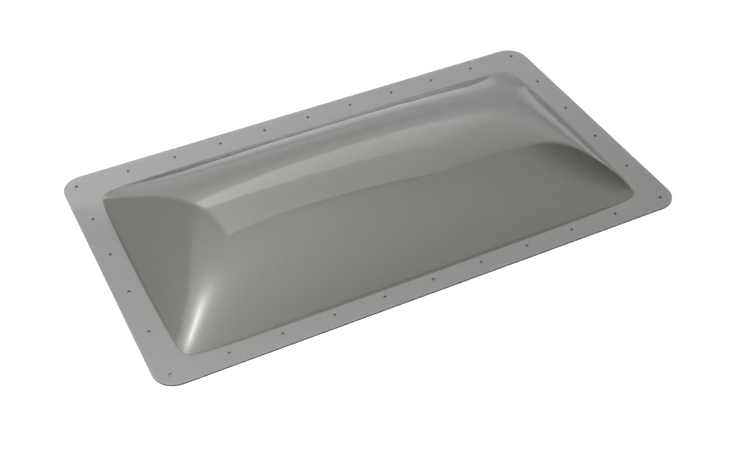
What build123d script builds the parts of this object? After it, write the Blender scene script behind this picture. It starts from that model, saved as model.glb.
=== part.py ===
from build123d import *
from math import cos, exp, pi, sqrt
import os

# Roof skylight for a caravan or camper: one sheet of smoke tinted polycarbonate,
# blown into a long shallow bubble with a flat drilled flange left all round it.
# X runs along the skylight, Y across it and Z up. The origin is on the flat underside
# of the flange, in the middle of its outline. All sizes are in millimetres.

INCH = 25.4

# The flat flange
flange_length = 37.5 * INCH
flange_width = 21.5 * INCH
flange_corner_radius = 1.5 * INCH
sheet_thickness = 3.0
edge_break = 0.4

# The bubble
flange_land = 2.03 * INCH
overall_height = 3.5 * INCH
bubble_shift = -9.0
bend_radius = 12.0
long_side_run_out = 3.0
short_side_run_out = 4.0

# The screw holes
hole_diameter = 3 / 16 * INCH
hole_inset = 1.0 * INCH
long_pitch = 3.5 * INCH
long_pitch_count = 8
short_gaps = 5

# How finely the bubble is described
series_terms = 14
film_margin = 3.0
stations_along = 41
stations_across = 25

bubble_length = flange_length - 2 * flange_land
bubble_width = flange_width - 2 * flange_land
bubble_rise = overall_height - sheet_thickness

# The sheet is blown like a soap film on a rectangular rim. The rim lies below the face
# of the flange and a little outside the bubble's footprint, so that the face cuts the
# film where its corners have already grown round.
rim_half_length = bubble_length / 2 + short_side_run_out
rim_half_width = bubble_width / 2 + long_side_run_out


def film(x, y):
    """Height, before scaling, of a film under even pressure on the rectangular rim."""
    total = 0.0
    for k in range(series_terms):
        n = 2 * k + 1
        w = n * pi / (2 * rim_half_width)
        fall = exp(w * (abs(x) - rim_half_length)) * (1 + exp(-2 * w * abs(x)))
        fall = fall / (1 + exp(-2 * w * rim_half_length))
        total = total + (-1) ** k / n**3 * (1 - fall) * cos(w * y)
    return total


film_peak = film(0, 0)


def arc_height(share, rise):
    """Height on a circular arc over the rim's width, where share runs from 0 to 1."""
    arc_radius = (rim_half_width**2 + rise**2) / (2 * rise)
    return sqrt(arc_radius**2 - (1 - share) * rim_half_width**2) - (arc_radius - rise)


# How far below the flange's face the rim lies: the film's height over the middle of the
# footprint's long side, found by repetition because it grows with the rise itself.
rim_drop = 0.0
for _ in range(20):
    side_share = film(0, bubble_width / 2) / film_peak
    rim_drop = arc_height(side_share, bubble_rise + rim_drop)
film_rise = bubble_rise + rim_drop
rim_level = sheet_thickness - rim_drop


def film_height(x, y):
    """Height of the bubble's outer face above the underside of the flange."""
    return rim_level + arc_height(film(x, y) / film_peak, film_rise)


def bubble_face(depth):
    """The bubble's outer face, or one that lies depth below it, square to the sheet.

    It is drawn film_margin past the rim, so that the inner face still reaches the
    underside of the flange all round.
    """
    step = 0.5
    rows = []
    for i in range(stations_along):
        x = (rim_half_length + film_margin) * (2 * i / (stations_along - 1) - 1)
        row = []
        for j in range(stations_across):
            y = (rim_half_width + film_margin) * (2 * j / (stations_across - 1) - 1)
            slope_x = (film_height(x + step, y) - film_height(x - step, y)) / (2 * step)
            slope_y = (film_height(x, y + step) - film_height(x, y - step)) / (2 * step)
            normal = Vector(-slope_x, -slope_y, 1).normalized()
            row.append(Vector(x, y, film_height(x, y)) - normal * depth)
        rows.append(row)
    return Face.make_surface_from_array_of_points(rows, tol=0.02, min_deg=3, max_deg=5)


def bubble_block(depth):
    """Solid from the underside of the flange up to the bubble's face at that depth."""
    with BuildPart() as block:
        with BuildSketch():
            Rectangle(2 * (rim_half_length + 2 - depth), 2 * (rim_half_width + 2 - depth))
        extrude(amount=overall_height + sheet_thickness)
        split(bisect_by=bubble_face(depth), keep=Keep.BOTTOM)
    return block.part.moved(Location((0, bubble_shift, 0)))


outer_block = bubble_block(0)
inner_block = bubble_block(sheet_thickness)

with BuildPart() as skylight_dome:
    # Flange blank, with the bubble standing on it
    with BuildSketch():
        RectangleRounded(flange_length, flange_width, flange_corner_radius)
    extrude(amount=sheet_thickness)
    chamfer(skylight_dome.faces().sort_by(Axis.Z)[-1].edges(), edge_break)
    add(outer_block)

    # The bend from the flange up into the bubble, seen from outside
    land_face = skylight_dome.faces().filter_by(Plane.XY).sort_by(Axis.Z)[-1]
    fillet(land_face.inner_wires()[0].edges(), bend_radius)

    # The hollow, open below, and the same bend seen from inside
    add(inner_block, mode=Mode.SUBTRACT)
    under_face = skylight_dome.faces().filter_by(Plane.XY).sort_by(Axis.Z)[0]
    fillet(under_face.inner_wires()[0].edges(), bend_radius + sheet_thickness)

    # Screw holes: two long rows, and the holes between them on the short sides
    row_x = flange_length / 2 - hole_inset
    row_y = flange_width / 2 - hole_inset
    short_pitch = 2 * row_y / short_gaps
    hole_places = []
    for side in (-1, 1):
        hole_places.append((-row_x, side * row_y))
        hole_places.append((row_x, side * row_y))
        for i in range(long_pitch_count + 1):
            hole_places.append(((i - long_pitch_count / 2) * long_pitch, side * row_y))
        for i in range(1, short_gaps):
            hole_places.append((side * row_x, i * short_pitch - row_y))
    with Locations(Plane.XY.offset(sheet_thickness)):
        with Locations(*hole_places):
            Hole(hole_diameter / 2)

skylight_dome.part.label = "skylight_dome"

os.makedirs("parts", exist_ok=True)
export_step(skylight_dome.part, "parts/skylight_dome.step")
print("holes", len(hole_places), "rim drop", round(rim_drop, 2))
print("volume", round(skylight_dome.part.volume), "size", skylight_dome.part.bounding_box().size)
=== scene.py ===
# %% [markdown]
# # Smoke tinted skylight dome for a caravan roof
# The real part is one sheet of clear grey plastic, heated until it is soft, clamped by its
# flange and blown up into a long shallow bubble. This lesson loads the measured model, makes
# the same sheet again with Geometry Nodes, finely enough for its gloss, and gives it its
# plastic, a floor, two lamps, a room to mirror and a camera. All sizes are in metres.

# %% Load the measured model
import math

import bpy
import numpy as np
from mathutils import Matrix, Vector


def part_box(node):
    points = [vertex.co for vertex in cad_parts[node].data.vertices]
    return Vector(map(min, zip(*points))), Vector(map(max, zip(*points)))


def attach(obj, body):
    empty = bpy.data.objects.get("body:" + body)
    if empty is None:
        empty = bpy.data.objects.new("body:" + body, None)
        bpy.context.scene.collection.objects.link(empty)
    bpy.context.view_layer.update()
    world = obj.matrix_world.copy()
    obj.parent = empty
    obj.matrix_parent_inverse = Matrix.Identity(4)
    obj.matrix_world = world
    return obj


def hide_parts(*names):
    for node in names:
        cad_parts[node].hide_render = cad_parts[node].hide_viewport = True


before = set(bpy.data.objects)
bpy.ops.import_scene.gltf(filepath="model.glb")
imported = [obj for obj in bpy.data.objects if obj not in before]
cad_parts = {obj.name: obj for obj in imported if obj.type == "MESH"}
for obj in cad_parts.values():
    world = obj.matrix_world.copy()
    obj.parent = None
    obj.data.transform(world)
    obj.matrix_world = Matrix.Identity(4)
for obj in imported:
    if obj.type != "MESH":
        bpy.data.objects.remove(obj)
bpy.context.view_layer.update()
cad_low, cad_high = (Vector(corner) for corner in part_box("skylight_dome"))
scene = bpy.context.scene
print("measured size", [round(v, 4) for v in cad_high - cad_low])

# %% [markdown]
# ## The driving sizes
# The outline and the height are read from the measured model, so they can't drift away from
# it. The other sizes are those that a drawing of the sheet would give: its thickness, the width
# of the flat land round the bubble, the radius of the bend, and how the screw holes are set out.
# The bubble stands a little off the middle, towards the front. The run-outs tell how far outside
# the bubble's outline the blown film would end: the larger they are, the rounder its corners.

# %% Driving sizes
mm = 0.001
inch = 25.4 * mm

flange_length = cad_high.x - cad_low.x
flange_width = cad_high.y - cad_low.y
overall_height = cad_high.z - cad_low.z
flange_corner_radius = 1.5 * inch
sheet_thickness = 3 * mm
flange_land = 2.03 * inch
bend_radius = 12 * mm
bubble_shift = -9 * mm
long_side_run_out = 1.6 * mm
short_side_run_out = 2.2 * mm

hole_diameter = 3 / 16 * inch
hole_inset = 1 * inch
long_pitch = 3.5 * inch
long_row_holes = 9
short_gaps = 5
print("flange", round(flange_length / inch, 3), "x", round(flange_width / inch, 3), "inches")

# %% [markdown]
# ## Formulas from nodes
# The whole sheet follows rules, so a Geometry Nodes tree makes it from its sizes: the blown
# bubble, the bend, the flat flange, the screw holes and the thickness. Change a size and all of
# them follow. A rule is easier to read as a formula than as a web of Math nodes, so a small
# class lets the outputs of nodes be added and multiplied, and places the nodes by itself. The
# plastic, the floor and the room use it later as well.

# %% Outputs that can be used in formulas


class Value:
    """An output of a node that can be used in formulas."""

    def __init__(self, socket):
        self.socket = socket
        self.tree = socket.id_data

    def __add__(self, other):
        return calc("ADD", self, other)

    def __sub__(self, other):
        return calc("SUBTRACT", self, other)

    def __rsub__(self, other):
        return calc("SUBTRACT", other, self)

    def __mul__(self, other):
        return calc("MULTIPLY", self, other)

    def __truediv__(self, other):
        return calc("DIVIDE", self, other)

    __radd__ = __add__
    __rmul__ = __mul__


def plug(value, socket):
    """Link a value to an input, or write a plain number there."""
    if isinstance(value, Value):
        value.tree.links.new(value.socket, socket)
    else:
        socket.default_value = value


def calc(operation, *values, kind="ShaderNodeMath"):
    """The result of one Math node, placed in the tree that its values come from."""
    tree = next(value.tree for value in values if isinstance(value, Value))
    node = tree.nodes.new(kind)
    node.operation = operation
    for value, socket in zip(values, node.inputs):
        plug(value, socket)
    return Value(next(socket for socket in node.outputs if socket.enabled))


def vector(operation, *values):
    """The result of one Vector Math node."""
    return calc(operation, *values, kind="ShaderNodeVectorMath")


# %% [markdown]
# Any other node is placed by its type's name, with its inputs given by name, and most often just
# one of its outputs is wanted.

# %% Other nodes


def place(tree, kind, properties=None, **inputs):
    """A new node, its properties set, and each named input given a value or linked."""
    node = tree.nodes.new(kind)
    for key, value in (properties or {}).items():
        setattr(node, key, value)
    for key, value in inputs.items():
        plug(value, node.inputs[key.replace("_", " ")])
    return node


def make(tree, kind, properties=None, output=0, **inputs):
    """One output of a new node: the first, or the one of that name."""
    return Value(place(tree, kind, properties, **inputs).outputs[output])


def outputs_of(node):
    """All outputs of a node, by name."""
    return {socket.name: Value(socket) for socket in node.outputs if socket.enabled and socket.name}


def soft_step(value, start, end, low=0.0, high=1.0):
    """A value that swings softly from low to high while another one goes from start to end."""
    settings = {"interpolation_type": "SMOOTHSTEP"}
    limits = {"From_Min": start, "From_Max": end, "To_Min": low, "To_Max": high}
    return make(value.tree, "ShaderNodeMapRange", settings, "Result", Value=value, **limits)


# %% [markdown]
# A tree starts from a list of inputs with their defaults, like the sizes on a drawing, and ends
# with its results. A finished tree can be used inside another one as a single node. What has to
# be done many times over goes into a repeat zone.

# %% Whole trees


def start_tree(name, sizes, **other_inputs):
    """A new tree and its inputs: sizes with their defaults, and others with their kinds."""
    tree = bpy.data.node_groups.new(name, "GeometryNodeTree")
    for label, size in sizes.items():
        socket = tree.interface.new_socket(label, in_out="INPUT", socket_type="NodeSocketFloat")
        socket.default_value = size
    for label, kind in other_inputs.items():
        tree.interface.new_socket(label, in_out="INPUT", socket_type=kind)
    return tree, outputs_of(tree.nodes.new("NodeGroupInput"))


def end_tree(tree, kind, **results):
    """Give the tree its outputs, all of one kind."""
    for label in results:
        tree.interface.new_socket(label.replace("_", " "), in_out="OUTPUT", socket_type=kind)
    place(tree, "NodeGroupOutput", **results)
    print(tree.name, "has", len(tree.nodes), "nodes")


def use(tree, group, **inputs):
    """The outputs of a finished tree that is used as one node of another."""
    return outputs_of(place(tree, "GeometryNodeGroup", {"node_tree": group}, **inputs))


def repeat(tree, turns, start, step):
    """A repeat zone. Its step takes the turn's number and the values so far, and gives new ones."""
    first = tree.nodes.new("GeometryNodeRepeatInput")
    last = tree.nodes.new("GeometryNodeRepeatOutput")
    first.pair_with_output(last)
    last.repeat_items.clear()
    for label in start:
        last.repeat_items.new("FLOAT", label)
    first.inputs["Iterations"].default_value = turns
    for label, value in start.items():
        plug(value, first.inputs[label])
    so_far = outputs_of(first)
    for label, value in step(so_far["Iteration"], so_far).items():
        plug(value, last.inputs[label])
    return outputs_of(last)


# %% [markdown]
# ## The shape of the bubble
# Air pressure blows a hot sheet into nearly the shape of a soap film on a frame of the same
# outline. A subdivision surface could imitate that by eye, but the film has a rule: its
# height is the sum of a quickly fading series. A repeat zone adds up its terms, and with them
# the film's slopes, because glossy plastic shows every small error of direction.

# %% The soap film
series_terms = 14

film_tree, given = start_tree("soap_film", {"X": 0, "Y": 0, "Half Length": 1, "Half Width": 1})


def add_term(k, so_far):
    """Add one term of the series to the film's height and to its slopes along X and Y."""
    n = k * 2 + 1
    w = n * (math.pi / 2) / given["Half Width"]
    weight = calc("COSINE", k * math.pi) / calc("POWER", n, 3)
    at_rim = calc("COSH", w * given["Half Length"])
    left_over = 1 - calc("COSH", w * given["X"]) / at_rim
    across = calc("COSINE", w * given["Y"])
    fall = calc("SINH", w * given["X"]) / at_rim
    return {
        "Height": so_far["Height"] + weight * left_over * across,
        "Slope X": so_far["Slope X"] - weight * w * across * fall,
        "Slope Y": so_far["Slope Y"] - weight * w * left_over * calc("SINE", w * given["Y"]),
    }


film = repeat(film_tree, series_terms, {"Height": 0, "Slope X": 0, "Slope Y": 0}, add_term)
slopes = {"Slope_X": film["Slope X"], "Slope_Y": film["Slope Y"]}
end_tree(film_tree, "NodeSocketFloat", Height=film["Height"], **slopes)

# %% [markdown]
# The film's height is turned into a circular arc over the width. That gives it the slope of
# about 40 degrees at its foot that the real bubble has. The slopes turn with it, and together
# they give the direction that the face looks in.

# %% The bubble's outer face


def arc(share, half_width, rise):
    """Height on a circular arc over a width at a share from 0 to 1, and the root that slopes need."""
    radius = (half_width * half_width + rise * rise) / (rise * 2)
    root = calc("SQRT", radius * radius - (1 - share) * half_width * half_width)
    return root - (radius - rise), root


face_inputs = {"X": 0, "Y": 0, "Half Length": 1, "Half Width": 1, "Rise": 1, "Rim Level": 0}
face_tree, given = start_tree("bubble_face", face_inputs)
rim = {"Half_Length": given["Half Length"], "Half_Width": given["Half Width"]}
film = use(face_tree, film_tree, X=given["X"], Y=given["Y"], **rim)
peak = use(face_tree, film_tree, **rim)["Height"]

height, root = arc(film["Height"] / peak, given["Half Width"], given["Rise"])
steepness = given["Half Width"] * given["Half Width"] / (root * peak * -2)
slopes = {"X": film["Slope X"] * steepness, "Y": film["Slope Y"] * steepness}
point = {"X": given["X"], "Y": given["Y"], "Z": height + given["Rim Level"]}
end_tree(
    face_tree,
    "NodeSocketVector",
    Point=make(face_tree, "ShaderNodeCombineXYZ", **point),
    Direction=vector("NORMALIZE", make(face_tree, "ShaderNodeCombineXYZ", Z=1, **slopes)),
)

# %% [markdown]
# ## The tree of the sheet
# Now the tree itself. Its inputs are the sizes of the real sheet.

# %% The tree's inputs
sizes = {
    "Length": flange_length,
    "Width": flange_width,
    "Height": overall_height,
    "Corner Radius": flange_corner_radius,
    "Thickness": sheet_thickness,
    "Land": flange_land,
    "Bend Radius": bend_radius,
    "Bubble Shift": bubble_shift,
    "Side Run-out": long_side_run_out,
    "End Run-out": short_side_run_out,
    "Hole Diameter": hole_diameter,
    "Row Length": flange_length - 2 * hole_inset,
    "Row Width": flange_width - 2 * hole_inset,
    "Long Pitch": long_pitch,
    "Short Pitch": (flange_width - 2 * hole_inset) / short_gaps,
}
tree, given = start_tree("formed_sheet", sizes, Material="NodeSocketMaterial")
print("the sheet has", len(sizes), "sizes")

# %% [markdown]
# The film's rim lies a little outside the bubble's outline and a little below the flange's face,
# so that the face cuts the film where its corners have already grown round. How deep it must lie
# depends on the rise, which grows with the depth: a short repetition settles it.

# %% The film's rim
rim_turns = 20

half_length = given["Length"] / 2 - given["Land"]
half_width = given["Width"] / 2 - given["Land"]
rim_half_width = half_width + given["Side Run-out"]
rim = {"Half_Length": half_length + given["End Run-out"], "Half_Width": rim_half_width}
bubble_rise = given["Height"] - given["Thickness"]
over_side = use(tree, film_tree, Y=half_width, **rim)["Height"]
side_share = over_side / use(tree, film_tree, **rim)["Height"]


def lower_rim(turn, so_far):
    """The drop that puts the face of the flange where the film has the side's height."""
    return {"Drop": arc(side_share, rim_half_width, bubble_rise + so_far["Drop"])[0]}


rim_drop = repeat(tree, rim_turns, {"Drop": 0}, lower_rim)["Drop"]
rim["Rise"] = bubble_rise + rim_drop
rim["Rim_Level"] = given["Thickness"] - rim_drop
print("the rim's depth settles in", rim_turns, "turns")


def outer_face(x, y):
    """Point and direction of the bubble's outer face, with x and y from its middle."""
    face = use(tree, face_tree, X=x, Y=y, **rim)
    return face["Point"], face["Direction"]


# %% [markdown]
# ## Laying out the bubble's mesh
# A plain grid would cut across the rounded corners of the bubble. Instead the mesh runs in
# loops round it, like the ripples in a bath: each column of points starts on a short ridge
# in the middle and ends at the foot of the wall. Loops of that kind follow the bend exactly,
# and the bend is where the eye looks first. So the columns of a flat grid are led once round
# the bubble's outline.

# %% Columns from the ridge to the foot
columns_long = 170
columns_short = 90
rings = 30
bend_steps = 10
rows = rings + bend_steps + 1
columns = 2 * (columns_long + columns_short)
corners_at = [0, columns_long, columns_long + columns_short, 2 * columns_long + columns_short]

grid = make(tree, "GeometryNodeMeshGrid", Vertices_X=columns + 1, Vertices_Y=rows)
index = make(tree, "GeometryNodeInputIndex")
column = calc("FLOOR", index / rows)
row = index - column * rows
print("bubble:", columns, "columns of", rows, "points")

# %% [markdown]
# A column's target is its place on the outline, which is walked round anticlockwise from the
# front left corner. X and Y of the target are each the sum of two legs: a leg grows or shrinks
# between two columns, and stays the same before and after them.

# %% Places on the outline, and on the way to it


def leg(start, end, low, high):
    """A value that goes from low to high between two columns, and stays there."""
    limits = {"From_Min": start, "From_Max": end, "To_Min": low, "To_Max": high}
    return make(tree, "ShaderNodeMapRange", None, "Result", Value=column, **limits)


target_x = leg(corners_at[0], corners_at[1], half_length * -1, half_length)
target_x = target_x + leg(corners_at[2], corners_at[3], 0, half_length * -2)
target_y = leg(corners_at[1], corners_at[2], half_width * -1, half_width)
target_y = target_y + leg(corners_at[3], columns, 0, half_width * -2)
ridge_half = half_length - half_width
start_x = calc("MINIMUM", calc("MAXIMUM", target_x, ridge_half * -1), ridge_half)
print("the outline's corners are at columns", corners_at)


def along(share):
    """The place at a share of the way from the ridge to the outline, for each column."""
    return start_x + share * (target_x - start_x), share * target_y


# %% [markdown]
# The bend is the path of a ball that rolls in the corner between the flange and the wall. For
# each column the point is searched where a ball of the bend's radius touches both: the search
# starts with the outer half of the way and halves that range at each turn.

# %% The ball that rolls round the foot
search_turns = 18

radius = given["Bend Radius"]


def z_of(value):
    """The height in a vector."""
    return make(tree, "ShaderNodeSeparateXYZ", None, "Z", Vector=value)


def halve(turn, so_far):
    """Keep the half of the range in which the ball touches the flange."""
    middle = (so_far["Low"] + so_far["High"]) / 2
    touched, direction = outer_face(*along(middle))
    ball_height = z_of(touched) + radius * z_of(direction)
    too_high = calc("GREATER_THAN", ball_height, given["Thickness"] + radius)
    return {
        "Low": so_far["Low"] + too_high * (middle - so_far["Low"]),
        "High": middle + too_high * (so_far["High"] - middle),
    }


foot_share = repeat(tree, search_turns, {"Low": 0.5, "High": 1}, halve)["Low"]
print("foot found to", round(flange_width / 2 / 2**search_turns / mm, 4), "mm")

# %% [markdown]
# The search is long, and its result is needed many times. A Capture Attribute node keeps it on
# the grid's points, so that it is worked out only once.

# %% The search's result, kept on the points
settled = tree.nodes.new("GeometryNodeCaptureAttribute")
settled.capture_items.new("FLOAT", "Foot Share")
plug(grid, settled.inputs["Geometry"])
plug(foot_share, settled.inputs["Foot Share"])
settled = outputs_of(settled)
foot_share = settled["Foot Share"]
print("tree so far:", len(tree.nodes), "nodes")

# %% [markdown]
# Each point now gets its place and its exact direction: on the bubble for the rows inside the
# foot, and on the ball's path for those of the bend, which turn from the wall's direction up to
# that of the flat flange.

# %% Points and directions of every loop
foot_point, foot_direction = outer_face(*along(foot_share))
ball = vector("MULTIPLY_ADD", foot_direction, radius, foot_point)
away = vector("NORMALIZE", vector("MULTIPLY", foot_direction, (1, 1, 0)))
into_bend = (row - rings) / bend_steps
angle = calc("ARCCOSINE", z_of(foot_direction)) * (1 - into_bend)
upright = make(tree, "ShaderNodeCombineXYZ", Z=calc("COSINE", angle))
bend_direction = vector("MULTIPLY_ADD", away, calc("SINE", angle), upright)
bend_point = vector("MULTIPLY_ADD", bend_direction, radius * -1, ball)

bubble_point, bubble_direction = outer_face(*along(foot_share * row / rings))
in_bend = calc("GREATER_THAN", row, rings)
print("the bend turns in", bend_steps, "steps")


def either(on_bubble, on_bend):
    """One vector inside the foot, and another in the bend."""
    choice = {"Switch": in_bend, "False": on_bubble, "True": on_bend}
    return make(tree, "GeometryNodeSwitch", {"input_type": "VECTOR"}, **choice)


# %% [markdown]
# The direction is stored on the points, for the wall's thickness and for the gloss. So is a
# number for the plastic: 1 where the sheet was stretched, 0 where it stayed flat, and falling
# from one to the other through the bend.

# %% The bubble and its bend


def keep(geometry, name, value, kind="FLOAT_VECTOR", domain="POINT"):
    """Store a value under a name, on each point or on each face."""
    stored = {"Geometry": geometry, "Name": name, "Value": value}
    settings = {"data_type": kind, "domain": domain}
    return make(tree, "GeometryNodeStoreNamedAttribute", settings, **stored)


bubble = keep(settled["Geometry"], "sheet_normal", either(bubble_direction, bend_direction))
bubble = keep(bubble, "stretched", 1 - calc("MAXIMUM", into_bend, 0), "FLOAT")
shift = make(tree, "ShaderNodeCombineXYZ", Y=given["Bubble Shift"])
position = vector("ADD", either(bubble_point, bend_point), shift)
bubble = make(tree, "GeometryNodeSetPosition", Geometry=bubble, Position=position)
print("kept on the points: sheet_normal and stretched")

# %% [markdown]
# The grid's first and last columns meet, and so do the columns that start at the same point of
# the ridge: merging near points closes both seams. The grid came out with its faces looking
# down, so they are turned over.

# %% Closed seams
weld_distance = 0.01 * mm


def weld(geometry):
    """Merge points that lie in the same place."""
    return make(tree, "GeometryNodeMergeByDistance", Geometry=geometry, Distance=weld_distance)


bubble = weld(make(tree, "GeometryNodeFlipFaces", Mesh=bubble))
print("points within", round(weld_distance / mm, 3), "mm become one")

# %% [markdown]
# ## The flat flange with its screw holes
# Thirty holes are a pattern: circles are placed on three small grids of points, the outline is a
# rectangle with rounded corners, and one fill between all these curves makes the flat land.
# Cutting thirty cylinders out with booleans would also work, but leaves a rough mesh. A grid of
# 9 by 2 points gives both long rows at once, one of 2 by 4 the short rows, and one of 2 by 2 the
# corners. Every point gets a circle, drawn with 24 short sides.

# %% Hole outlines
hole_sides = 24

long_row = given["Long Pitch"] * (long_row_holes - 1)
short_row = given["Short Pitch"] * (short_gaps - 2)
grids = (
    (long_row, given["Row Width"], long_row_holes, 2),
    (given["Row Length"], short_row, 2, short_gaps - 1),
    (given["Row Length"], given["Row Width"], 2, 2),
)


def join(*values):
    """One Join Geometry node with every value plugged into it."""
    node = tree.nodes.new("GeometryNodeJoinGeometry")
    for value in reversed(values):
        plug(value, node.inputs[0])
    return Value(node.outputs[0])


centres = []
for size_x, size_y, count_x, count_y in grids:
    pattern = {"Size_X": size_x, "Size_Y": size_y, "Vertices_X": count_x, "Vertices_Y": count_y}
    centres.append(make(tree, "GeometryNodeMeshGrid", **pattern))
hole_centres = join(*centres)
hole = {"Resolution": hole_sides, "Radius": given["Hole Diameter"] / 2}
circle = make(tree, "GeometryNodeCurvePrimitiveCircle", {"mode": "RADIUS"}, **hole)
holes = make(tree, "GeometryNodeInstanceOnPoints", Points=hole_centres, Instance=circle)
holes = make(tree, "GeometryNodeRealizeInstances", Geometry=holes)
print("holes:", sum(count_x * count_y for _, _, count_x, count_y in grids))

# %% [markdown]
# The outer outline is a rectangle with filleted corners. The inner one is the foot of the
# bend: the only edges of the bubble's mesh that have a face on one side alone.

# %% Outer and inner outlines
corner_points = 16
count_tolerance = 0.1

plate = {"Width": given["Length"], "Height": given["Width"]}
outline = make(tree, "GeometryNodeCurvePrimitiveQuadrilateral", {"mode": "RECTANGLE"}, **plate)
rounding = {"Curve": outline, "Count": corner_points, "Radius": given["Corner Radius"]}
outline = make(tree, "GeometryNodeFilletCurve", {"mode": "POLY"}, **rounding)
faces_beside = make(tree, "GeometryNodeInputMeshEdgeNeighbors")
is_open = calc("COMPARE", faces_beside, 1, count_tolerance)
bend_foot = make(tree, "GeometryNodeMeshToCurve", Mesh=bubble, Selection=is_open)
print("each corner of the flange has", corner_points, "points")

# %% [markdown]
# The fill lies at height zero, so it is lifted to the outer face of the sheet. Its direction
# is straight up everywhere. Merging it with the bubble along the bend's foot closes the seam.

# %% The flat land, joined to the bubble
land = make(tree, "GeometryNodeFillCurve", Curve=join(outline, bend_foot, holes))
lift = make(tree, "ShaderNodeCombineXYZ", Z=given["Thickness"])
land = make(tree, "GeometryNodeSetPosition", Geometry=land, Offset=lift)
land = keep(land, "sheet_normal", (0, 0, 1))
outside = weld(join(bubble, land))
print("tree so far:", len(tree.nodes), "nodes")

# %% [markdown]
# The sheet gets its thickness by an extrusion against each point's own direction, so the wall
# measures the same everywhere, also through the bend. The side walls of the screw holes are
# marked, because the drill leaves them unlike the rest. The moved faces and the new side walls
# are turned over, and together with the outer face they close the solid. The tree ends with
# Realize Instances and Set Material, because the export takes only real geometry.

# %% The sheet's thickness
outward = make(tree, "GeometryNodeInputNamedAttribute", {"data_type": "FLOAT_VECTOR"}, Name="sheet_normal")
inward = vector("MULTIPLY", outward, given["Thickness"] * -1)
push = {"Mesh": outside, "Offset": inward, "Offset_Scale": 1.0, "Individual": False}
inside = outputs_of(place(tree, "GeometryNodeExtrudeMesh", {"mode": "FACES"}, **push))

hole_points = make(tree, "GeometryNodeMeshToPoints", Mesh=hole_centres)
nearest = {"target_element": "POINTS"}
to_hole = make(tree, "GeometryNodeProximity", nearest, "Distance", Geometry=hole_points)
near_hole = calc("LESS_THAN", to_hole, given["Hole Diameter"])
marked = keep(inside["Mesh"], "drilled", near_hole * inside["Side"], "FLOAT", "FACE")

closed = weld(join(outside, make(tree, "GeometryNodeFlipFaces", Mesh=marked)))
plain = make(tree, "GeometryNodeRealizeInstances", Geometry=closed)
painted = make(tree, "GeometryNodeSetMaterial", Geometry=plain, Material=given["Material"])
end_tree(tree, "NodeSocketGeometry", Sheet=painted)

# %% [markdown]
# ## The plastic
# Clear polycarbonate has a refractive index of 1.585 and mirrors a little light on both faces.
# The grey is in the plastic, not on it, so it is made as absorption inside the solid: light that
# crosses the sheet loses a fixed share for each millimetre. That darkens the slanting walls by
# itself, because light takes a longer way through them. Colour on the surface alone would not.
# The tint lets a trace more red and green through than blue, which makes the grey a little warm.

# %% The smoke tint
passed_light = 0.46
refractive_index = 1.585
tint = (0.02, 0.025, 0.0, 1)
absorbed_per_metre = -math.log(passed_light) / sheet_thickness

smoke = bpy.data.materials.new("smoke_polycarbonate")
smoke.use_nodes = True
smoke_tree = smoke.node_tree
smoke_tree.nodes.clear()
finished = smoke_tree.nodes.new("ShaderNodeOutputMaterial")
plastic = place(smoke_tree, "ShaderNodeBsdfPrincipled", IOR=refractive_index, Transmission_Weight=1.0)
absorption = make(smoke_tree, "ShaderNodeVolumeAbsorption", Color=tint, Density=absorbed_per_metre)
plug(absorption, finished.inputs["Volume"])
print("absorbed per metre", round(absorbed_per_metre, 1))

# %% [markdown]
# The blown part is painted a shade darker and a little warmer than the flange, which stayed
# clamped and flat: painted shade for the shaded floor that shows through the bubble. A thin line
# in the narrow crease at the bend's foot is painted darker still, as painted shade where the bend
# meets the floor. The holes' walls are rough from the drill and painted nearly black, as painted
# shade that keeps the holes dark. The numbers that the tree left on the mesh tell where all this
# is. The crease lies between flat and stretched, and a soft step at each of its sides fades it out.

# %% Painted shade on the bubble, in the crease and in the holes
flat_shade = (1, 1, 1, 1)
# painted shade: the bubble darker, standing for the shaded floor seen through it
bubble_painted_shade = (0.84, 0.825, 0.8, 1)
# painted shade: a dark line in the crease where the bend meets the floor
crease_painted_shade = (0.62, 0.61, 0.6, 1)
# painted shade: the holes' walls nearly black, so that the holes look dark
hole_wall_painted_shade = (0.03, 0.03, 0.03, 1)
bubble_painted_shade_from = 0.4
crease_from = 0.3
crease_to = 0.6


def kept(name):
    """A number that the tree stored on the mesh."""
    return make(smoke_tree, "ShaderNodeAttribute", {"attribute_name": name}, "Fac")


def blend(share, first, second):
    """A colour that goes from the first to the second while the share goes from 0 to 1."""
    mix = {"Factor": share, "A": first, "B": second}
    return make(smoke_tree, "ShaderNodeMix", {"data_type": "RGBA"}, "Result", **mix)


stretched = kept("stretched")
drilled = kept("drilled")
in_crease = soft_step(stretched, 0, crease_from) * soft_step(stretched, 1, crease_to)

# the base colour is painted shade: white on the flange, darker on the bubble, in the crease and in the
# holes
painted_shading = blend(soft_step(stretched, 0, bubble_painted_shade_from), flat_shade, bubble_painted_shade)
painted_shading = blend(in_crease, painted_shading, crease_painted_shade)
painted_shading = blend(drilled, painted_shading, hole_wall_painted_shade)
plug(painted_shading, plastic.inputs["Base Color"])
print("shades of bubble and crease", bubble_painted_shade[:3], crease_painted_shade[:3])

# %% [markdown]
# The faces of a blown sheet are never perfect. Very shallow ripples from uneven heating bend
# the reflections a little, and a film of dust dulls the gloss in soft patches with a few
# small specks. All are noise in space on Object coordinates, so they stay where they are on the
# part from every side. Noise is mostly near 0.5: a step from 0.4 to 0.7 makes soft patches of
# it, and one from 0.74 to 0.8 leaves only rare specks. The drill leaves the holes' walls matt.

# %% Ripples, dust and drilled walls
ripple_scale = 14
ripple_height = 0.25 * mm
dust_scale = 9
clean_roughness = 0.02
dusty_roughness = 0.05
speck_scale = 700
speck_roughness = 0.25
drilled_roughness = 0.5

on_part = make(smoke_tree, "ShaderNodeTexCoord", None, "Object")


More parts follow.
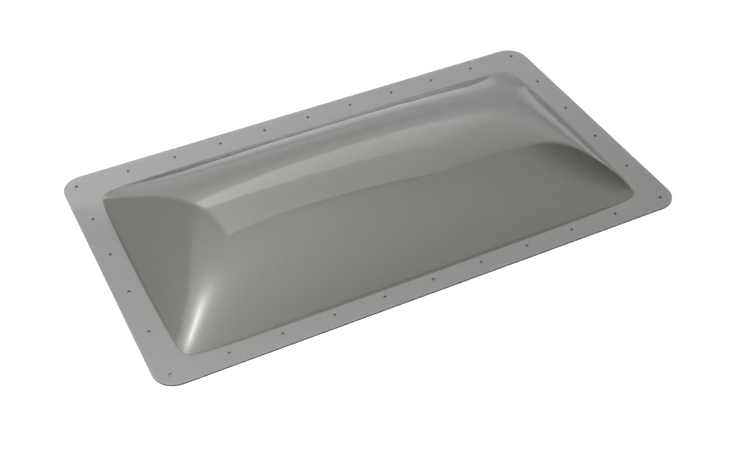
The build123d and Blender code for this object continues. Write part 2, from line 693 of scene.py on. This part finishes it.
def noise(scale, detail):
    """Random pattern in space, with this many patches to the metre."""
    return make(smoke_tree, "ShaderNodeTexNoise", None, "Fac", Vector=on_part, Scale=scale, Detail=detail)


ripples = {"Distance": ripple_height, "Strength": 1.0, "Height": noise(ripple_scale, detail=1)}
plug(make(smoke_tree, "ShaderNodeBump", **ripples), plastic.inputs["Normal"])

patches = soft_step(noise(dust_scale, detail=3), 0.4, 0.7, clean_roughness, dusty_roughness)
specks = soft_step(noise(speck_scale, detail=0), 0.74, 0.8, 0, speck_roughness)
dullness = calc("MAXIMUM", patches + specks, drilled * drilled_roughness)
plug(dullness, plastic.inputs["Roughness"])
print("ripples", round(1000 / ripple_scale), "mm wide, specks about", round(1000 / speck_scale, 1), "mm")

# %% [markdown]
# A renderer can't easily find the way of a lamp's light through bent glass, and would leave
# the floor under the dome nearly black. So for rays that carry light to other surfaces the
# faces are simply open, and only the tint inside the sheet acts on them. The walls of the holes
# stay closed, which keeps the holes dark.

# %% Light that passes on to the floor
path = outputs_of(place(smoke_tree, "ShaderNodeLightPath"))
carries_light = calc("MAXIMUM", path["Is Shadow Ray"], path["Is Diffuse Ray"])
open_face = make(smoke_tree, "ShaderNodeBsdfTransparent")
surface = smoke_tree.nodes.new("ShaderNodeMixShader")
plug(carries_light * (1 - drilled), surface.inputs[0])
plug(Value(plastic.outputs[0]), surface.inputs[1])
plug(open_face, surface.inputs[2])
plug(Value(surface.outputs[0]), finished.inputs["Surface"])
print("plastic:", len(smoke_tree.nodes), "nodes")

# %% [markdown]
# ## The finished piece
# An object with an empty mesh carries the tree as a modifier. The modifier is given its material,
# and what it makes is turned into a plain mesh, because the export and the poses work on meshes
# alone.

# %% From the tree to a mesh
dome = bpy.data.objects.new("skylight_dome_sheet", bpy.data.meshes.new("blank"))
scene.collection.objects.link(dome)
modifier = dome.modifiers.new("formed_sheet", "NODES")
modifier.node_group = tree
for item in tree.interface.items_tree:
    if item.name == "Material":
        modifier[item.identifier] = smoke

graph = bpy.context.evaluated_depsgraph_get()
dome_mesh = bpy.data.meshes.new_from_object(dome.evaluated_get(graph))
dome.modifiers.remove(modifier)
dome.data = dome_mesh
dome_mesh.name = "smoke_dome"
print("dome", len(dome_mesh.vertices), "points,", len(dome_mesh.polygons), "faces")

# %% [markdown]
# The exact directions kept on the points now go to the corners of the faces: as they are on
# the outer face, turned round on the inner face, and left out on the thin side walls, whose
# corners take the mean of the walls beside them, so that each hole is smooth inside. A face
# belongs to a side wall where its own direction and the kept one disagree.

# %% Exact directions on both faces
least_agreement = 0.5
shortest = 1e-9

corners = len(dome_mesh.loops)
corner_point = np.empty(corners, np.int32)
dome_mesh.loops.foreach_get("vertex_index", corner_point)
exact = np.empty(len(dome_mesh.vertices) * 3, np.float32)
dome_mesh.attributes["sheet_normal"].data.foreach_get("vector", exact)
exact = exact.reshape(-1, 3)[corner_point]

face_normal = np.empty(len(dome_mesh.polygons) * 3, np.float32)
dome_mesh.polygons.foreach_get("normal", face_normal)
face_corners = np.empty(len(dome_mesh.polygons), np.int32)
dome_mesh.polygons.foreach_get("loop_total", face_corners)
flat = np.repeat(face_normal.reshape(-1, 3), face_corners, axis=0)

agreement = (exact * flat).sum(axis=1)
side_wall = abs(agreement) < least_agreement
wall_sum = np.zeros((len(dome_mesh.vertices), 3))
np.add.at(wall_sum, corner_point[side_wall], flat[side_wall])
smooth_wall = wall_sum[corner_point]
smooth_wall /= np.maximum(np.linalg.norm(smooth_wall, axis=1, keepdims=True), shortest)

corner_normal = np.where(side_wall[:, None], smooth_wall, exact * np.sign(agreement)[:, None])
dome_mesh.normals_split_custom_set(corner_normal.tolist())
dome_mesh.attributes.remove(dome_mesh.attributes["sheet_normal"])
print("corners on side walls", int(side_wall.sum()))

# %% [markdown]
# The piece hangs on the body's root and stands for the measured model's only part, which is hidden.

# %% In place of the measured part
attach(dome, "root")
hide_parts("skylight_dome")
print("piece", dome.name)

# %% [markdown]
# ## Floor, lamps and camera
# The dome lies on a plain pale floor, which catches the soft grey shadow of the tinted sheet.
# The floor's colour fades a little with the distance, a painted fall-off of the light away from
# the dome. Light of its own lifts it to white where the camera sees it, but not under the dome,
# where it would fill the screw holes. Rays that the plastic mirrors or lets through meet a little
# of that light too.

# %% The floor
floor_size = 8
floor_gap = 0.2 * mm
floor_colour = 0.79
# painted fall-off: the floor's colour far from the dome stands for less light there
far_shaded_colour = 0.7
fade_from = 0.7
fade_to = 1.8
floor_lift = 0.1
floor_roughness = 0.9

half = floor_size / 2
floor_corners = [(-half, -half, 0), (half, -half, 0), (half, half, 0), (-half, half, 0)]
floor_mesh = bpy.data.meshes.new("floor")
floor_mesh.from_pydata(floor_corners, [], [(0, 1, 2, 3)])
floor = bpy.data.objects.new("floor", floor_mesh)
floor.location.z = cad_low.z - floor_gap
scene.collection.objects.link(floor)
print("floor", floor_size, "m wide")

# %% [markdown]
# The floor's material is a formula of the place on it and of the kind of ray that asks. Its own
# light is 1 minus its colour, which is just what is missing to white. It begins half the holes'
# inset inside the flange's outline, so that no grey rim shows round the rounded corners.

# %% The floor's colour and its own light
pale = bpy.data.materials.new("pale_floor")
pale.use_nodes = True
pale_tree = pale.node_tree
paint = pale_tree.nodes["Principled BSDF"]

on_floor = make(pale_tree, "ShaderNodeTexCoord", None, "Object")
# the floor's colour with a painted fall-off of light into the distance
colour = soft_step(vector("LENGTH", on_floor), fade_from, fade_to, floor_colour, far_shaded_colour)
floor_x = make(pale_tree, "ShaderNodeSeparateXYZ", None, "X", Vector=on_floor)
floor_y = make(pale_tree, "ShaderNodeSeparateXYZ", None, "Y", Vector=on_floor)
covered_x = flange_length / 2 - hole_inset / 2
covered_y = flange_width / 2 - hole_inset / 2
beside_x = calc("GREATER_THAN", calc("ABSOLUTE", floor_x), covered_x)
beside_y = calc("GREATER_THAN", calc("ABSOLUTE", floor_y), covered_y)

ray = outputs_of(place(pale_tree, "ShaderNodeLightPath"))
for_camera = (1 - colour) * ray["Is Camera Ray"] * calc("MAXIMUM", beside_x, beside_y)
in_plastic = calc("MAXIMUM", ray["Is Glossy Ray"], ray["Is Transmission Ray"])

plug(colour, paint.inputs["Base Color"])
plug(for_camera + in_plastic * floor_lift, paint.inputs["Emission Strength"])
paint.inputs["Emission Color"].default_value = (1, 1, 1, 1)
paint.inputs["Roughness"].default_value = floor_roughness
paint.inputs["Specular IOR Level"].default_value = 0.0
floor_mesh.materials.append(pale)
print("the dome covers", round(2 * covered_x, 3), "x", round(2 * covered_y, 3), "m")

# %% [markdown]
# Two lamps stand near. A large soft one at the front left makes that side of the flange
# lighter than the far side. It isn't mirrored, because the gloss shows no such light. A second
# one hangs close over the left end. Because it is so near, the bubble mirrors it as a streak down
# its front left corner, where a small faraway light would show as no more than a spot.

# %% A lamp that points at the dome
fill_size = 0.6
fill_power = 15
fill_place = (-0.8, -0.95, 0.8)


def add_lamp(name, size, power, at, target):
    """A square area lamp that lights and is mirrored, but isn't seen by the camera."""
    data = bpy.data.lights.new(name, "AREA")
    data.size = size
    data.energy = power
    lamp = bpy.data.objects.new(name, data)
    lamp.location = at
    lamp.rotation_euler = (Vector(target) - Vector(at)).to_track_quat("-Z", "Y").to_euler()
    lamp.visible_camera = False
    scene.collection.objects.link(lamp)
    print(name, "at", at)
    return lamp


fill_lamp = add_lamp("fill_lamp", fill_size, fill_power, fill_place, (0, 0, 0))
fill_lamp.visible_glossy = False
fill_lamp.visible_transmission = False

# %% [markdown]
# The near lamp has a diffuser: it is brightest in the middle and fades outwards, which gives the
# streak its soft sides. A lamp's own coordinates are called Parametric and run from 0 to 1. Its
# power is 1 watt, so that the strength in its nodes says all. It only serves as a thing to be
# mirrored, so it lights no matt surface.

# %% The near lamp with its diffuser
near_size = 0.6
near_fade = 0.038
near_strength = 13
near_place = (-0.49, 0.0, 0.43)
near_target = (-0.38, -0.17, 0)

near_lamp = add_lamp("near_lamp", near_size, 1, near_place, near_target)
near_lamp.visible_diffuse = False
near_lamp.data.use_nodes = True
lamp_tree = near_lamp.data.node_tree

on_lamp = make(lamp_tree, "ShaderNodeNewGeometry", None, "Parametric")
from_middle = vector("LENGTH", vector("SUBTRACT", on_lamp, (0.5, 0.5, 0)))
glow = calc("EXPONENT", from_middle * (-near_size / near_fade)) * near_strength
plug(glow, lamp_tree.nodes["Emission"].inputs["Strength"])

# %% [markdown]
# ## The room
# The room is the world's background. What the glossy bubble mirrors tells what stood round it:
# a bright ceiling with a glow high on the left, a grey wall, a dark corner low on the right,
# and behind the dome a white backdrop with a strip of light across it. Panels could be built
# for each, but in a background every direction can simply be given its brightness, where 1
# is as bright as white paper. The backdrop faces the camera a little turned, so the room is
# drawn from there: every direction is split into how far it points ahead to the backdrop, to
# the left and up.

# %% Ahead, left and up
backdrop_azimuth = 65

room = bpy.data.worlds.new("room")
room.use_nodes = True
room_tree = room.node_tree
scene.world = room

looked_at = make(room_tree, "ShaderNodeTexCoord", None, "Generated")
turn_back = (0, 0, -math.radians(backdrop_azimuth))
turned = make(room_tree, "ShaderNodeMapping", Vector=looked_at, Rotation=turn_back)
ahead, left, up = outputs_of(place(room_tree, "ShaderNodeSeparateXYZ", Vector=turned)).values()
print("backdrop towards", backdrop_azimuth, "degrees")

# %% [markdown]
# The ceiling is brightest overhead. The dark corner is a round patch with a soft rim, given by
# the angle from its middle. The glow is another such patch, high on the left. Each patch has an
# azimuth and a height, the two angles between which it fades in, and its brightness.

# %% Ceiling, dark corner and glow


def direction_to(azimuth, elevation):
    """Unit vector towards a compass direction, counted from +X, and a height in degrees."""
    a, e = math.radians(azimuth), math.radians(elevation)
    return Vector((math.cos(a) * math.cos(e), math.sin(a) * math.cos(e), math.sin(e)))


def degrees_from(azimuth, elevation):
    """Angle between the looked-at direction and another one."""
    cosine = vector("DOT_PRODUCT", looked_at, direction_to(azimuth, elevation))
    return calc("DEGREES", calc("ARCCOSINE", cosine))


overhead = soft_step(degrees_from(0, 90), 40, 10, 0.7, 1.0)
dark_corner = soft_step(degrees_from(10, 5), 44, 26)
ceiling_glow = soft_step(degrees_from(124, 63), 42, 8, 0, 0.9)
ceiling = overhead * (1 - dark_corner) + ceiling_glow
print("ceiling:", len(room_tree.nodes), "nodes so far")

# %% [markdown]
# On the left stands a plain grey wall, whose height is given in units of its distance. Its upper
# edge climbs away from the backdrop, which makes the slanted dark side of the bubble's left end.

# %% The grey wall on the left
wall_brightness = 0.7
wall_height = 1.45
wall_climb = 0.15
wall_blur = 0.06

above_wall = soft_step(up + ahead * wall_climb - left * wall_height, -wall_blur, wall_blur)
surroundings = ceiling * above_wall + (1 - above_wall) * wall_brightness
print("the wall is", wall_brightness, "times as bright as white")

# %% [markdown]
# The backdrop is a flat sheet. A direction meets it at a place to the side and at a height, in
# units of its distance. Its left edge leans a little, and all its edges are soft. Directions that
# point sideways or back miss it, and for them a least distance keeps the division safe.

# %% The backdrop's outline
left_edge = 0.54
left_lean = 0.11
right_edge = -0.6
top_edge = 1.81
blur = 0.04
left_blur = 0.05
least_distance = 0.01

distance = calc("MAXIMUM", ahead, least_distance)
aside = left / distance
height = up / distance

left_rim = soft_step(aside - height * left_lean, left_edge, left_edge - left_blur)
right_rim = soft_step(aside, right_edge, right_edge + blur)
between_sides = left_rim * right_rim
on_backdrop = between_sides * soft_step(height, top_edge, top_edge - blur)
print("backdrop from", right_edge, "to", left_edge, "aside and up to", top_edge)

# %% [markdown]
# It is lighter to the left, on the side of the glow, and once more near its top. Near the floor it
# is darker, and a slanted line parts the two brightnesses softly. Just above its top edge runs a
# darker trim, which fades out to the left and shows on the crown as a thin line.

# %% The backdrop's brightness
slant = 0.45
lower_to = 0.15
upper_from = 0.5
upper_brightness = 1.72
upper_gradient = 1.1
lower_brightness = 0.95
lower_gradient = 0.7
top_start = 1.4
top_full = 1.8
top_extra = 0.15
trim_height = 1.83
trim_end = 2.05
trim_darkness = 0.3
trim_left_end = 0.25
trim_full_from = -0.15

slanted = height - aside * slant
upper_part = soft_step(slanted, lower_to, upper_from)
upper_light = aside * upper_gradient + upper_brightness
lower_light = aside * lower_gradient + lower_brightness
backdrop = upper_light * upper_part + lower_light * (1 - upper_part)
backdrop = backdrop + soft_step(height, top_start, top_full, 0, top_extra)

trim = between_sides * soft_step(height, trim_end, trim_height, 0, trim_darkness)
trim = trim * soft_step(aside, trim_left_end, trim_full_from)
surroundings = surroundings * (1 - trim)
print("backdrop brightness", lower_brightness, "below and", upper_brightness, "above")

# %% [markdown]
# A strip of light lies across it, level above and slanted below, and fades to the right. The
# crown of the bubble mirrors it as the long pale band.

# %% The strip of light
strip_top = 0.88
strip_bottom = 0.39
strip_bottom_blur = 0.06
strip_end = -0.34
strip_end_blur = 0.14
strip_brightness = 0.65
strip_gradient = 1.5

strip = soft_step(height, strip_top, strip_top - blur)
strip = strip * soft_step(slanted, strip_bottom, strip_bottom + strip_bottom_blur)
strip = strip * soft_step(aside, strip_end, strip_end + strip_end_blur)
strip_light = aside * strip_gradient + strip_brightness
backdrop = backdrop + strip * strip_light
print("strip from", strip_bottom, "to", strip_top, "high")

# %% [markdown]
# The camera itself sees plain white where it looks past the floor.

# %% The finished room
mirrored = backdrop * on_backdrop + surroundings * (1 - on_backdrop)
seen = make(room_tree, "ShaderNodeLightPath", None, "Is Camera Ray")
background = room_tree.nodes["Background"]
background.inputs["Color"].default_value = (1, 1, 1, 1)
plug(mirrored * (1 - seen) + seen, background.inputs["Strength"])
print("room:", len(room_tree.nodes), "nodes")

# %% [markdown]
# ## The camera
# The camera stands where the photograph's stood, found by fitting the flange's straight edges
# and its rows of holes.

# %% The camera
view_azimuth = 25.96
view_elevation = 41.67
view_roll = -0.77
view_distance = 2.063
look_at = Vector((-0.036, -0.081, 0))
lens_pixels = 1208
picture_width = 736

camera_data = bpy.data.cameras.new("camera")
camera_data.lens = lens_pixels * camera_data.sensor_width / picture_width
camera = bpy.data.objects.new("camera", camera_data)
to_dome = direction_to(90 - view_azimuth, -view_elevation)
camera.location = look_at - to_dome * view_distance
level = to_dome.to_track_quat("-Z", "Y").to_matrix()
camera.rotation_euler = (level @ Matrix.Rotation(math.radians(view_roll), 3, "Z")).to_euler()
scene.collection.objects.link(camera)
scene.camera = camera
scene.view_settings.view_transform = "Standard"
print("lens", round(camera_data.lens, 1), "mm")
